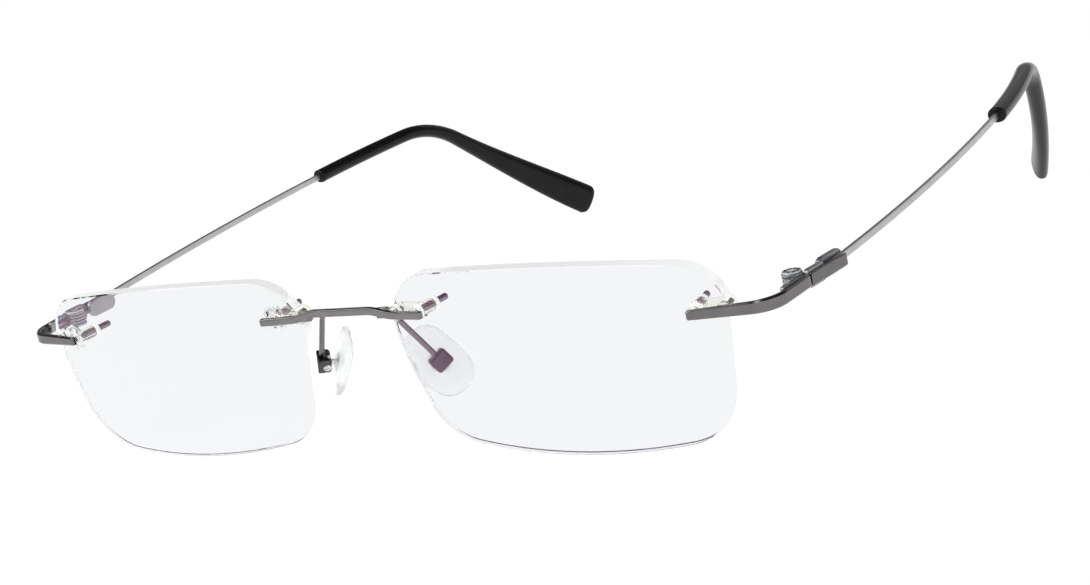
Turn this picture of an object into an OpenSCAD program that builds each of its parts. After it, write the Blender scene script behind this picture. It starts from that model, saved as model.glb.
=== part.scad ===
// Rimless eyeglasses, open, standing on the lens bottoms and the ear tips.
// Millimetres. X to the right as seen from the front, Y to the back, Z up.
// The origin is on the surface that the glasses stand on, under the middle of their box.

/* [Lenses] */
// Width of one lens
lens_w = 53; // [50:0.5:56]
// Height of one lens
lens_h = 28.8; // [27:0.2:32]
// Clear gap between the two lenses
nose_gap = 17; // [16:0.5:19]
// Thickness of a lens
lens_t = 2; // [1.6:0.1:2.6]
// Radius of the front surface of a lens
lens_curve = 126; // [110:2:180]
// How far the lens tops lean forward, degrees
lens_lean = 7.2; // [4:0.2:10]
// How far each lens turns back towards its temple, degrees
lens_wrap = 2.7; // [0:0.1:5]

/* [Bridge and endpieces] */
// Height of the bridge bar
bridge_h = 1.15; // [1:0.05:1.4]
// Depth of the bridge bar
bridge_d = 0.95; // [0.8:0.05:1.1]
// Rise of the bridge above its ends
bridge_rise = 0.8; // [0.4:0.1:2]
// Height of the endpiece bars
endpiece_h = 1.8; // [1.6:0.1:2.2]
// Thickness of the endpiece bars
endpiece_t = 0.9; // [0.8:0.05:1.1]
// Middle radius of the endpiece bend
bend_r = 4.5; // [3.5:0.1:5]
// Width between the outer faces of the hinges
front_w = 137.6; // [136:0.2:142]

/* [Temples] */
// Distance from the lens fronts back to the hinge pins
hinge_y = 13.6; // [13:0.1:15]
// Length from the hinge pin back to the end of the ear tip, measured straight back
temple_l = 132.5; // [120:0.5:140]
// Length of the block behind the hinge
block_l = 9.4; // [8.6:0.1:11]
// Height of the spring strip
strip_h = 1.1; // [1:0.1:1.6]
// Thickness of the spring strip
strip_t = 0.6; // [0.5:0.05:0.7]
// Upward slope of the strip towards the ear, degrees
strip_rise = 4; // [2:0.5:6]
// Downward slope of the ear tip behind the bend, degrees
tip_drop = 39.3; // [36:0.1:42]
// Thickness of the ear tip
tip_t = 3; // [2.4:0.1:3.2]
// Height of the ear tip at its mouth
tip_h = 2.5; // [2:0.1:2.8]
// Width of the paddle at the end of the ear tip
paddle_w = 6.1; // [4:0.1:7]

/* [Nose pads] */
// Height of a nose pad
pad_h = 11.4; // [10:0.2:13]
// Width of a nose pad
pad_w = 7; // [6.4:0.2:8.4]
// Thickness of a nose pad
pad_t = 1.9; // [1.6:0.1:2.1]

/* [Hidden] */

GUNMETAL = [0.42, 0.42, 0.43];
STEEL = [0.74, 0.75, 0.76];
GLASS = [0.92, 0.95, 0.98, 0.35];
CLEAR = [0.93, 0.94, 0.90, 0.6];
BLACK = [0.07, 0.07, 0.08];

eps = 0.01;
lap = 0.04;        // how far the pieces of one bent bar run into each other
cut = 20;
seat = 0.1;       // gap between a bar and the lens it sits on
fit = 0.03;       // gap round a sleeve or a pin pressed into a hole
ball_fn = 200;
round_fn = 48;

// Lens outline: a corner is [x, z, radius], from the nose side over the top.
nose_top_r = 8.4;
side_top_r = 7.1;
side_bottom_r = 9.8;
nose_bottom_r = 8.3;
nose_taper = 2.1;    // the lens is this much narrower at the bottom, on the nose side
side_taper = 1.5;    // and on the temple side
crown_nose = 0.3;    // the top corners lie this much under the crown
crown_side = 1.9;
keel_side = 0.5;     // the bottom corners lie this much over the lowest point
keel_nose = 1.9;
edge_bows = [207, 195, 119, 206];    // radii of the top, temple, bottom and nose edges
arc_steps = 10;

lens_corners = [
    [-lens_w/2 + nose_top_r, lens_h/2 - crown_nose - nose_top_r, nose_top_r],
    [lens_w/2 - side_top_r, lens_h/2 - crown_side - side_top_r, side_top_r],
    [lens_w/2 - side_taper - side_bottom_r, -lens_h/2 + keel_side + side_bottom_r, side_bottom_r],
    [-lens_w/2 + nose_taper + nose_bottom_r, -lens_h/2 + keel_nose + nose_bottom_r, nose_bottom_r]
];

// Centre of the bow of radius R that is tangent inside to two corner circles.
function bow_centre(a, b, R) =
    let (
        d = [b[0] - a[0], b[1] - a[1]],
        l = norm(d),
        e = d / l,
        inner = [e[1], -e[0]],
        ra = R - a[2],
        rb = R - b[2],
        s = (ra*ra - rb*rb + l*l) / (2*l)
    ) [a[0], a[1]] + s*e + sqrt(ra*ra - s*s) * inner;

function heading(v) = atan2(v[1], v[0]);
function clockwise(from, to) = to > from ? to - 360 : to;

// Points of a clockwise arc, without its last point.
function arc(c, r, from, to) =
    let (end = clockwise(from, to))
    [for (i = [0 : arc_steps - 1])
        let (t = from + (end - from) * i / arc_steps)
        [c[0] + r * cos(t), c[1] + r * sin(t)]];

// A closed outline of corner arcs joined by tangent bows.
function bowed_outline(corners, bows) =
    let (
        n = len(corners),
        o = [for (i = [0 : n - 1]) bow_centre(corners[i], corners[(i + 1) % n], bows[i])]
    )
    [for (i = [0 : n - 1])
        let (
            c = [corners[i][0], corners[i][1]],
            next = [corners[(i + 1) % n][0], corners[(i + 1) % n][1]],
            before = o[(i + n - 1) % n]
        )
        each concat(
            arc(c, corners[i][2], heading(c - before), heading(c - o[i])),
            arc(o[i], bows[i], heading(c - o[i]), heading(next - o[i]))
        )];

// Depth of the front surface of a lens behind its middle point, at u, v on the lens.
function sag(u, v) = lens_curve - sqrt(lens_curve*lens_curve - u*u - v*v);

// Height that puts the lowest point of the lens on the surface below.
lens_x = nose_gap/2 + lens_w/2 * cos(lens_wrap);
lens_z = lens_h/2 * cos(lens_lean) - sag(0, lens_h/2) * sin(lens_lean);

// The place of the point u, v, depth of a lens, in the frame of the glasses.
function on_lens(u, v, d) =
    let (
        x = u * cos(lens_wrap) - d * sin(lens_wrap),
        y = u * sin(lens_wrap) + d * cos(lens_wrap)
    )
    [lens_x + x, y * cos(lens_lean) - v * sin(lens_lean),
     lens_z + y * sin(lens_lean) + v * cos(lens_lean)];

// Lens mounts: a hole, and a notch in the edge beside it.
nose_inset = 4.5;    // from the edge of the lens to the hole
side_inset = 4.7;
nose_u = -lens_w/2 + nose_inset;
nose_v = 8.1;        // height of the holes over the middle of the lens
side_u = lens_w/2 - side_inset;
side_v = 5.5;
nose_notch = -3.9;
side_notch = 4.3;
hole_r = 0.98;
post_r = 0.5;
post_l = 8.0;
notch_post_l = 3.1;
post_root = 0.6;     // how far a post reaches forward into its bar
nose_mount = on_lens(nose_u, nose_v, sag(nose_u, nose_v));
side_mount = on_lens(side_u, side_v, sag(side_u, side_v));
nose_turn = lens_wrap + asin(nose_u / lens_curve);
nose_tilt = lens_lean - asin(nose_v / lens_curve);
side_turn = lens_wrap + asin(side_u / lens_curve);
side_tilt = lens_lean - asin(side_v / lens_curve);

// Bridge
bar_z = nose_mount[2];
bar_past_hole = 1.8;
knee_past_gap = 0.2;
bar_end_x = nose_mount[0] + bar_past_hole;
bar_knee_x = nose_gap/2 + knee_past_gap;
bar_back_y = nose_mount[1] - seat + (bar_knee_x - nose_mount[0]) * tan(nose_turn);
rise_from_x = 4.6;
rise_to_x = 9.6;
rise_steps = 8;

// Endpiece: a straight bar on the lens, a bend, and a straight bar back to the hinge.
flare = 5;             // the side bars and the hinges turn outwards by this angle
endpiece_tilt = 2.5;   // upward slope of the endpiece towards the hinge
bar_start = -0.9;      // inner end of the bar, from the hole
pin_y = 0.2;           // the pin lies this far behind the end of the side bar
gap_y = hinge_y - pin_y;
side_heading = 90 - flare;
bar_mid_x = side_mount[0] + (seat + endpiece_t/2) * sin(side_turn);
bar_mid_y = side_mount[1] - (seat + endpiece_t/2) * cos(side_turn);
bend_dx = bend_r * (sin(side_heading) - sin(side_turn));
bend_dy = bend_r * (cos(side_turn) - cos(side_heading));
end_x = front_w/2 - endpiece_t/2;
run_x = end_x - bar_mid_x - bend_dx;
run_y = gap_y - bar_mid_y - bend_dy;
turn_sum = sin(side_heading - side_turn);
bar_l = (run_x * sin(side_heading) - run_y * cos(side_heading)) / turn_sum;
back_l = (run_y * cos(side_turn) - run_x * sin(side_turn)) / turn_sum;

// Hinge: a stack of five barrels round one pin, three on the endpiece and two on the temple.
barrel_r = 1.45;
barrel_h = 0.42;
barrel_gap = 0.06;
barrel_pitch = barrel_h + barrel_gap;
plate_t = 0.6;
plate_h = 1.7;
plate_end = 0.25;      // the base plate stops this far in front of the gap
pin_r = 0.5;
pin_gap = 0.05;
pin_in = endpiece_t/2 + plate_t + barrel_r + pin_gap;    // from the bar's middle line to the pin
base_l = 5.6;
arm_cover = 0.9;       // how far a barrel's arm reaches past the pin
arm_lap = 0.2;         // and into its plate
screw_head_r = 1.35;
screw_head_h = 0.22;
dimples = 8;           // a ring of small holes in the head, for a pin spanner
dimple_r = 0.2;
dimple_ring = 0.95;
hinge_z = side_mount[2] + (gap_y - bar_mid_y) * tan(endpiece_tilt);

// Temple, in the frame of the hinge: y back from the gap, x outwards from the bar's middle
skin_in = -0.15;                     // inner face of the block
strip_out = skin_in - 0.02;
strip_mid = strip_out - strip_t/2;
leaf_l = 4.6;
leaf_h = 2.6;
leaf_seat = 0.1;                     // step from the base plate's face back to the leaf's
strip_y = leaf_l + 0.1;
block_gap = 0.35;
block_h = 1.9;
clamp_h = 2.9;
clamp_t = 0.9;
clamp_over = 1.4;                    // the clamp reaches this far past the block
clamp_gap = 0.25;                    // and stands this far off the strip
clamp_round = 0.42;                  // its corner radius, as a share of its height

// Strip: one arc in plan, from its front end to the mouth of the ear tip.
mouth_share = 0.536;                 // of the temple, in front of the mouth of the ear tip
mouth_y = hinge_y + temple_l * mouth_share;
tip_end_y = hinge_y + temple_l;
strip_from = [end_x + strip_mid * cos(flare) + strip_y * sin(flare),
              gap_y - strip_mid * sin(flare) + strip_y * cos(flare)];
strip_r = (mouth_y - strip_from[1]) / (2 * sin(flare));
strip_centre = strip_from + strip_r * [-cos(flare), sin(flare)];
strip_end = [strip_from[0], mouth_y];
strip_turn = 2 * flare;
strip_lap = 0.1;                     // the strip's arc runs on by this angle into the tip

// Ear tip: a tighter arc in plan, and in side view a slope, a bend and a drop.
tip_in = 19;                         // the end of the tip lies this far inside the strip's front
tip_run = tip_end_y - mouth_y;
tip_chord = sqrt(tip_run*tip_run + tip_in*tip_in);
tip_half = atan2(tip_in, tip_run) - flare;
tip_r = tip_chord / (2 * sin(tip_half));
tip_centre = strip_end - tip_r * [cos(flare), sin(flare)];
mouth_z = hinge_z + (mouth_y - strip_from[1]) * tan(strip_rise);
ear_r = 17;
ear_y = mouth_y + 23.4;              // start of the bend over the ear
ear_turn = strip_rise + tip_drop;
ear_z = mouth_z + (ear_y - mouth_y) * tan(strip_rise);
ear_centre = [ear_y + ear_r * sin(strip_rise), ear_z - ear_r * cos(strip_rise)];
drop_start = ear_centre + ear_r * [sin(tip_drop), cos(tip_drop)];
drop_l = (tip_end_y - drop_start[0]) / cos(tip_drop);
core_l = drop_l * 0.75;
core_lead = 0.3;     // the core starts this far in front of the mouth
socket_lead = 1;     // and its socket this far
core_gap = 0.05;
bend_steps = 16;
wall_spare = 2;      // degrees by which the plan wall runs on past the tip
paddle_corner = 1.2; // cut off the corners of the paddle
paddle_from = 0.55;  // share of the drop where the paddle's flanks change slope
paddle_top = 0.33;   // height of the flanks there over and under the middle, as shares
paddle_low = 0.29;   // of the paddle's width

// The middle of the glasses, from front to back
front_y = bar_back_y - bridge_d - (bar_end_x - bar_knee_x) * tan(-nose_turn);
back_y = tip_end_y + (paddle_w/2 - paddle_corner) * sin(tip_drop);
middle_y = (front_y + back_y) / 2;

// Nose pads: a pad's frame has x across its width, y out of its face and z up its length.
pad_at = [9.39, 8.78, 12.89];   // middle of the pad
pad_splay = 41.6;               // turn about its upright axis
pad_lean_forward = 9.5;
pad_lean_in = -36.8;
pad_bows = [12, 30, 12, 30];    // radii of the top, side, bottom and side edges
pad_top_round = 0.42;           // corner radii, as shares of the width
pad_low_round = 0.47;
insert_plate = [3.2, 0.4, 5];
insert_gap = 0.03;

// Pad box, round the pad screw: x along the screw, y towards the pad, z up.
screw_from_pad = [0.18, -2.23, -0.2];
box_rock = 12;                  // turn of the box about the screw, from the resting pad
slot_w = 1.4;
cheek_t = 0.75;
box_half = slot_w/2 + cheek_t;
box_front = 0.7;
box_back = -1.6;
box_wall = 0.55;
box_low = -1.25;
box_top = 1.35;
screw_r = 0.4;
pad_head_r = 0.62;
pad_head_h = 0.3;
tongue_r = 0.85;
tongue_w = 1.2;
tongue_h = 0.8;

// Pad arm: out of the back of the bridge, over a knee and down to the box.
arm_r = 0.42;
arm_root = [7.0, 0.75, bar_z];
arm_knee = [7.05, 4.2, 21.5];
arm_foot = [10.93, 6.51, 14.56];

// Puts a part of the right side in place, or its mirror image on the left.
module sided(side) {
    translate([0, -middle_y, 0]) {
        if (side > 0) {
            children();
        } else {
            mirror([1, 0, 0]) children();
        }
    }
}

module on_nose_mount() {
    translate(nose_mount) rotate([nose_tilt, 0, 0]) rotate([0, 0, nose_turn]) children();
}

module on_side_mount() {
    translate(side_mount) rotate([side_tilt, 0, 0]) rotate([0, 0, side_turn]) children();
}

// The frame of the right hinge: y along the side bar, x outwards, z up.
module on_hinge() {
    translate([end_x, gap_y, hinge_z]) rotate([0, 0, -flare]) children();
}

module in_pad_frame() {
    translate(pad_at) rotate([pad_lean_forward, pad_lean_in, 0]) rotate([0, 0, pad_splay]) children();
}

module at_pad_screw() {
    in_pad_frame() translate(screw_from_pad) children();
}

module in_box_frame() {
    at_pad_screw() rotate([box_rock, 0, 0]) children();
}

// A box from its low corner and its high corner.
module span(low, high) {
    translate(low) cube(high - low);
}

// A round bar along Y.
module post(r, from, to, x = 0) {
    translate([x, from, 0]) rotate([-90, 0, 0]) cylinder(r = r, h = to - from, $fn = round_fn);
}

// A round bar between two points.
module rod(p, q, r) {
    d = q - p;
    l = norm(d);
    translate(p) rotate([0, acos(d[2] / l), atan2(d[1], d[0])])
        cylinder(r = r, h = l, $fn = round_fn);
}

// Both bars or holes of a lens mount: one at the hole, one in the notch.
module mount_pair(r, from, to, notch, notch_to) {
    post(r, from, to);
    post(r, from, notch_to, notch);
}

// One lens: a curved shell cut to its outline, with a hole and a notch at each mount.
module lens(side) {
    deep = 6;        // spare length of the outline's prism in front and behind
    open = 3;        // spare length of a notch past the edge
    color(GLASS)
        sided(side) difference() {
            translate([lens_x, 0, lens_z]) rotate([lens_lean, 0, 0]) rotate([0, 0, lens_wrap])
                intersection() {
                    translate([0, lens_t + deep, 0]) rotate([90, 0, 0])
                        linear_extrude(height = lens_t + 2*deep)
                            polygon(bowed_outline(lens_corners, edge_bows));
                    difference() {
                        translate([0, lens_curve, 0]) sphere(r = lens_curve, $fn = ball_fn);
                        translate([0, lens_curve, 0]) sphere(r = lens_curve - lens_t, $fn = ball_fn);
                    }
                }
            on_nose_mount() {
                mount_pair(hole_r, -1, lens_t + 1, nose_notch, lens_t + 1);
                span([nose_notch - open, -1, -hole_r], [nose_notch, lens_t + 1, hole_r]);
            }
            on_side_mount() {
                mount_pair(hole_r, -1, lens_t + 1, side_notch, lens_t + 1);
                span([side_notch, -1, -hole_r], [side_notch + open, lens_t + 1, hole_r]);
            }
        }
}

// Share of the bridge's rise at a distance x from the middle.
function rise_share(x) =
    x <= rise_from_x ? 1
    : x >= rise_to_x ? 0
    : 0.5 + 0.5 * cos(180 * (x - rise_from_x) / (rise_to_x - rise_from_x));

function ramp_points(sign, offset) =
    [for (i = [0 : rise_steps])
        let (x = rise_to_x + (rise_from_x - rise_to_x) * i / rise_steps)
        [sign * x, bar_z + bridge_rise * rise_share(x) + offset]];

function reversed(list) = [for (i = [len(list) - 1 : -1 : 0]) list[i]];

// Front view of the bridge, x and z.
module bridge_elevation() {
    half = bridge_h/2;
    tip_x = bar_end_x - half;
    polygon(concat(
        [[-tip_x, bar_z + half]], ramp_points(-1, half),
        reversed(ramp_points(1, half)), [[tip_x, bar_z + half]],
        [[tip_x, bar_z - half]], ramp_points(1, -half),
        reversed(ramp_points(-1, -half)), [[-tip_x, bar_z - half]]
    ));
    for (s = [-1, 1]) {
        translate([s * tip_x, bar_z]) circle(r = half, $fn = round_fn);
    }
}

// Plan of the bridge, x and y: straight in the middle, with ends that follow the lenses.
module bridge_plan() {
    out_x = bar_end_x + 1;
    out_y = (out_x - bar_knee_x) * tan(nose_turn);
    polygon([
        [-out_x, bar_back_y + out_y], [-bar_knee_x, bar_back_y],
        [bar_knee_x, bar_back_y], [out_x, bar_back_y + out_y],
        [out_x, bar_back_y + out_y - bridge_d], [bar_knee_x, bar_back_y - bridge_d],
        [-bar_knee_x, bar_back_y - bridge_d], [-out_x, bar_back_y + out_y - bridge_d]
    ]);
}

// Bridge: one bent bar with two posts behind each end.
module bridge() {
    color(GUNMETAL) {
        translate([0, -middle_y, 0]) intersection() {
            translate([0, cut/2, 0]) rotate([90, 0, 0]) linear_extrude(height = cut) bridge_elevation();
            translate([0, 0, bar_z - cut/2]) linear_extrude(height = cut) bridge_plan();
        }
        for (side = [-1, 1]) {
            sided(side) on_nose_mount() mount_pair(post_r, -post_root, post_l, nose_notch, notch_post_l);
        }
    }
}

// Endpiece: the bar on the lens, the bend and the side bar, with two posts.
module endpiece(side) {
    color(GUNMETAL)
        sided(side) {
            translate([bar_mid_x, bar_mid_y, side_mount[2]]) rotate([endpiece_tilt, 0, 0]) {
                rotate([0, 0, side_turn])
                    span([bar_start, -endpiece_t/2, -endpiece_h/2],
                         [bar_l + lap, endpiece_t/2, endpiece_h/2]);
                translate([bar_l * cos(side_turn), bar_l * sin(side_turn), 0]) {
                    translate([-bend_r * sin(side_turn), bend_r * cos(side_turn), -endpiece_h/2])
                        rotate([0, 0, side_turn - 90])
                            rotate_extrude(angle = side_heading - side_turn, $fn = 4 * round_fn)
                                translate([bend_r - endpiece_t/2, 0]) square([endpiece_t, endpiece_h]);
                    translate([bend_dx, bend_dy, 0]) rotate([0, 0, -flare])
                        span([-endpiece_t/2, -lap, -endpiece_h/2], [endpiece_t/2, back_l, endpiece_h/2]);
                }
            }
            on_side_mount() mount_pair(post_r, -post_root, post_l, side_notch, notch_post_l);
        }
}

// Clear double sleeve: two tubes that grip the posts, joined by a plate behind the lens.
module double_sleeve(notch) {
    tube_r = hole_r - fit;
    tube_start = 0.05;
    tube_past = 3.6;        // the tube in the hole reaches this far behind the lens
    notch_past = 0.9;       // and the tube in the notch this far
    strap_y = lens_t + 0.2;
    strap_t = 0.7;
    difference() {
        union() {
            mount_pair(tube_r, tube_start, lens_t + tube_past, notch, lens_t + notch_past);
            span([min(0, notch), strap_y, -tube_r], [max(0, notch), strap_y + strap_t, tube_r]);
        }
        mount_pair(post_r + fit, -1, post_l + 1, notch, post_l + 1);
    }
}

module sleeve_nose(side) {
    color(CLEAR) sided(side) on_nose_mount() double_sleeve(nose_notch);
}

module sleeve_side(side) {
    color(CLEAR) sided(side) on_side_mount() double_sleeve(side_notch);
}

// Pad arm: a wire from the back of the bridge down to the pad box.
module pad_arm(side) {
    color(GUNMETAL)
        sided(side) {
            rod(arm_root, arm_knee, arm_r);
            translate(arm_knee) sphere(r = arm_r + eps, $fn = round_fn);
            rod(arm_knee, arm_foot, arm_r);
        }
}

// Pad box: two cheeks and a back wall, with the screw across it.
module pad_box(side) {
    color(GUNMETAL)
        sided(side) difference() {
            in_box_frame() difference() {
                span([-box_half, box_back, box_low], [box_half, box_front, box_top]);
                span([-slot_w/2, box_back + box_wall, box_low - 1],
                     [slot_w/2, box_front + 1, box_top + 1]);
                rotate([0, 90, 0]) cylinder(r = screw_r + fit, h = cut, center = true, $fn = round_fn);
                translate([-box_half - eps, 0, 0]) rotate([0, 90, 0])
                    cylinder(r = pad_head_r + fit, h = pad_head_h + fit, $fn = round_fn);
            }
            rod(arm_knee, arm_foot, arm_r + eps);
        }
}

// Pad screw: a shank across the box and a slotted head sunk in its front cheek.
module pad_screw(side) {
    slot_half = 0.1;
    slot_deep = 0.15;
    color(STEEL)
        sided(side) in_box_frame() difference() {
            union() {
                translate([-box_half + slot_deep, 0, 0]) rotate([0, 90, 0])
                    cylinder(r = screw_r, h = 2*box_half - slot_deep, $fn = round_fn);
                translate([-box_half, 0, 0]) rotate([0, 90, 0])
                    cylinder(r = pad_head_r, h = pad_head_h, $fn = round_fn);
            }
            span([-box_half - 1, -slot_half, -1], [-box_half + slot_deep, slot_half, 1]);
        }
}

// Metal insert: a plate inside the pad and a tongue with an eye for the screw.
module pad_insert(side) {
    color(STEEL)
        sided(side) at_pad_screw() difference() {
            union() {
                rotate([0, 90, 0]) cylinder(r = tongue_r, h = tongue_w, center = true, $fn = round_fn);
                span([-tongue_w/2, 0, -tongue_h/2], [tongue_w/2, -screw_from_pad[1], tongue_h/2]);
                translate(-screw_from_pad) cube(insert_plate, center = true);
            }
            rotate([0, 90, 0])
                cylinder(r = screw_r + pin_gap, h = cut, center = true, $fn = round_fn);
        }
}

// Nose pad: a soft oval, moulded round its insert.
module nose_pad(side) {
    top_r = pad_w * pad_top_round;
    low_r = pad_w * pad_low_round;
    tongue_low = -[tongue_w, 0, tongue_h]/2 - [insert_gap, pad_t, insert_gap];
    tongue_high = [tongue_w, 0, tongue_h]/2 + [insert_gap, 0, insert_gap];
    corners = [
        [-pad_w/2 + top_r, pad_h/2 - top_r, top_r], [pad_w/2 - top_r, pad_h/2 - top_r, top_r],
        [pad_w/2 - low_r, -pad_h/2 + low_r, low_r], [-pad_w/2 + low_r, -pad_h/2 + low_r, low_r]
    ];
    color(CLEAR)
        sided(side) in_pad_frame() difference() {
            translate([0, pad_t/2, 0]) rotate([90, 0, 0]) linear_extrude(height = pad_t)
                polygon(bowed_outline(corners, pad_bows));
            cube(insert_plate + [1, 1, 1] * 2 * insert_gap, center = true);
            translate([screw_from_pad[0], 0, screw_from_pad[2]]) span(tongue_low, tongue_high);
        }
}

// One barrel of the hinge with its arm: layer 0 is the lowest of five.
module barrel(layer, arm_from, arm_to, plate_x) {
    low = (layer - 2) * barrel_pitch - barrel_h/2;
    translate([-pin_in, pin_y, low]) cylinder(r = barrel_r, h = barrel_h, $fn = round_fn);
    span([-pin_in - arm_cover, arm_from, low], [plate_x, arm_to, low + barrel_h]);
}

module pin_hole(r) {
    translate([-pin_in, pin_y, -cut/2]) cylinder(r = r, h = cut, $fn = round_fn);
}

// Hinge base: a plate on the side bar and three barrels.
module hinge_base(side) {
    plate_in = -endpiece_t/2 - plate_t;
    arm_from = -3.2;
    arm_to = 0.1;
    color(GUNMETAL)
        sided(side) on_hinge() difference() {
            union() {
                span([plate_in, -base_l, -plate_h/2], [-endpiece_t/2 - eps, -plate_end, plate_h/2]);
                for (layer = [0, 2, 4]) {
                    barrel(layer, arm_from, arm_to, plate_in + arm_lap);
                }
            }
            pin_hole(pin_r + fit);
        }
}

// Hinge screw: a plain pin with a flat round head and a ring of small holes in it.
module hinge_screw(side) {
    half = 2 * barrel_pitch + barrel_h/2;
    below = 0.15;
    head_gap = 0.02;
    dimple_deep = 0.12;
    head_top = half + head_gap + screw_head_h;
    color(STEEL)
        sided(side) on_hinge() translate([-pin_in, pin_y, 0]) difference() {
            union() {
                translate([0, 0, -half - below])
                    cylinder(r = pin_r, h = 2*half + below + head_gap + eps, $fn = round_fn);
                translate([0, 0, half + head_gap])
                    cylinder(r = screw_head_r, h = screw_head_h, $fn = round_fn);
            }
            for (i = [1 : dimples]) {
                rotate([0, 0, 360 * i / dimples]) translate([dimple_ring, 0, head_top - dimple_deep])
                    cylinder(r = dimple_r, h = 1, $fn = round_fn);
            }
        }
}

// Temple leaf: two barrels and the plate that joins them to the block.
module temple_leaf(side) {
    leaf_in = -endpiece_t/2 - plate_t + leaf_seat;
    arm_from = 0.4;
    arm_to = 2.9;
    color(GUNMETAL)
        sided(side) on_hinge() difference() {
            union() {
                span([leaf_in, block_gap, -leaf_h/2], [skin_in - eps, leaf_l, leaf_h/2]);
                for (layer = [1, 3]) {
                    barrel(layer, arm_from, arm_to, leaf_in + arm_lap);
                }
            }
            pin_hole(pin_r + pin_gap);
        }
}

// Temple block: the outer plate behind the endpiece.
module temple_block(side) {
    color(GUNMETAL)
        sided(side) on_hinge()
            span([skin_in, block_gap, -block_h/2], [endpiece_t/2, block_gap + block_l, block_h/2]);
}

// Temple clamp: the lug that holds the strip against the block.
module temple_clamp(side) {
    r = clamp_h * clamp_round;
    from = strip_y;
    to = block_gap + block_l + clamp_over;
    bows = [60, 8, 60, 8];
    corners = [
        [from + r, clamp_h/2 - r, r], [to - r, clamp_h/2 - r, r],
        [to - r, -clamp_h/2 + r, r], [from + r, -clamp_h/2 + r, r]
    ];
    inner = strip_out - strip_t - clamp_gap;
    color(GUNMETAL)
        sided(side) on_hinge() translate([inner - clamp_t, 0, 0])
            rotate([90, 0, 90]) linear_extrude(height = clamp_t)
                polygon(bowed_outline(corners, bows));
}

// A line beside the middle line of the ear tip in side view, from the mouth over the bend:
// each point is [y, z], before is how far it starts in front of the mouth.
function ear_line(offset, before) = concat(
    [[mouth_y - before * cos(strip_rise) - offset * sin(strip_rise),
      mouth_z - before * sin(strip_rise) + offset * cos(strip_rise)]],
    [for (i = [0 : bend_steps])
        let (t = -strip_rise + ear_turn * i / bend_steps)
        ear_centre + (ear_r + offset) * [sin(t), cos(t)]]
);

// A point beside the middle line of the drop.
function on_drop(along, offset) =
    drop_start + along * [cos(tip_drop), -sin(tip_drop)]
    + offset * [sin(tip_drop), cos(tip_drop)];

// A curved upright wall along the plan arc of the ear tip.
module plan_wall(t) {
    translate([tip_centre[0], tip_centre[1], -cut]) rotate([0, 0, flare - wall_spare])
        rotate_extrude(angle = 2 * tip_half + 3 * wall_spare, $fn = 16 * round_fn)
            translate([tip_r - t/2, 0]) square([t, 4 * cut]);
}

// A side view extruded across the right temple and cut to the wall of thickness t.
module tip_slab(t) {
    intersection() {
        rotate([90, 0, 90]) linear_extrude(height = 5 * cut) children();
        plan_wall(t);
    }
}

// The strip's core inside the ear tip, or the socket for it.
module core(t, h, l, before) {
    tip_slab(t)
        polygon(concat(
            ear_line(h/2, before), [on_drop(l, h/2), on_drop(l, -h/2)],
            reversed(ear_line(-h/2, before))
        ));
}

// Spring strip, with its thinner core that runs on inside the ear tip.
module temple_strip(side) {
    color(STEEL)
        sided(side) {
            translate([0, strip_from[1], hinge_z]) rotate([strip_rise, 0, 0])
                translate([strip_centre[0], strip_centre[1] - strip_from[1], -strip_h/2])
                    rotate([0, 0, -flare])
                        rotate_extrude(angle = strip_turn + strip_lap, $fn = 40 * round_fn)
                            translate([strip_r - strip_t/2, 0]) square([strip_t, strip_h]);
            core(strip_t - 2*core_gap, strip_h - 2*core_gap, core_l, core_lead);
        }
}

// Black ear tip: the curved sleeve over the core, widening to a paddle with cut corners.
module temple_tip(side) {
    half = paddle_w/2;
    corner = paddle_corner;
    mid = drop_l * paddle_from;
    color(BLACK)
        sided(side) difference() {
            tip_slab(tip_t)
                polygon(concat(
                    ear_line(tip_h/2, 0),
                    [on_drop(mid, paddle_w * paddle_top), on_drop(drop_l - corner, half),
                     on_drop(drop_l, half - corner), on_drop(drop_l, -half + corner),
                     on_drop(drop_l - corner, -half), on_drop(mid, -paddle_w * paddle_low)],
                    reversed(ear_line(-tip_h/2, 0))
                ));
            core(strip_t + 2*core_gap, strip_h + 2*core_gap, core_l + core_gap, socket_lead);
        }
}

lens(1);  // lens_right
lens(-1);  // lens_left
bridge();
endpiece(1);  // endpiece_right
endpiece(-1);  // endpiece_left
sleeve_nose(1);  // sleeve_nose_right
sleeve_nose(-1);  // sleeve_nose_left
sleeve_side(1);  // sleeve_side_right
sleeve_side(-1);  // sleeve_side_left
pad_arm(1);  // pad_arm_right
pad_arm(-1);  // pad_arm_left
pad_box(1);  // pad_box_right
pad_box(-1);  // pad_box_left
pad_screw(1);  // pad_screw_right
pad_screw(-1);  // pad_screw_left
nose_pad(1);  // nose_pad_right
nose_pad(-1);  // nose_pad_left
pad_insert(1);  // pad_insert_right
pad_insert(-1);  // pad_insert_left
hinge_base(1);  // hinge_base_right
hinge_base(-1);  // hinge_base_left
hinge_screw(1);  // hinge_screw_right
hinge_screw(-1);  // hinge_screw_left
temple_leaf(1);  // temple_leaf_right
temple_leaf(-1);  // temple_leaf_left
temple_block(1);  // temple_block_right
temple_block(-1);  // temple_block_left
temple_clamp(1);  // temple_clamp_right
temple_clamp(-1);  // temple_clamp_left
temple_strip(1);  // temple_strip_right
temple_strip(-1);  // temple_strip_left
temple_tip(1);  // temple_tip_right
temple_tip(-1);  // temple_tip_left
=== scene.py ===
"""Rimless eyeglasses: the looks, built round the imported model. All shapes are in millimetres in
the glasses' own frame (x right, y back from the lens fronts, z up) until they become objects."""
import bpy
import bmesh
import math
from math import sin, cos, tan, asin, atan2, sqrt, pi, radians
from mathutils import Euler, Matrix, Vector, geometry


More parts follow.
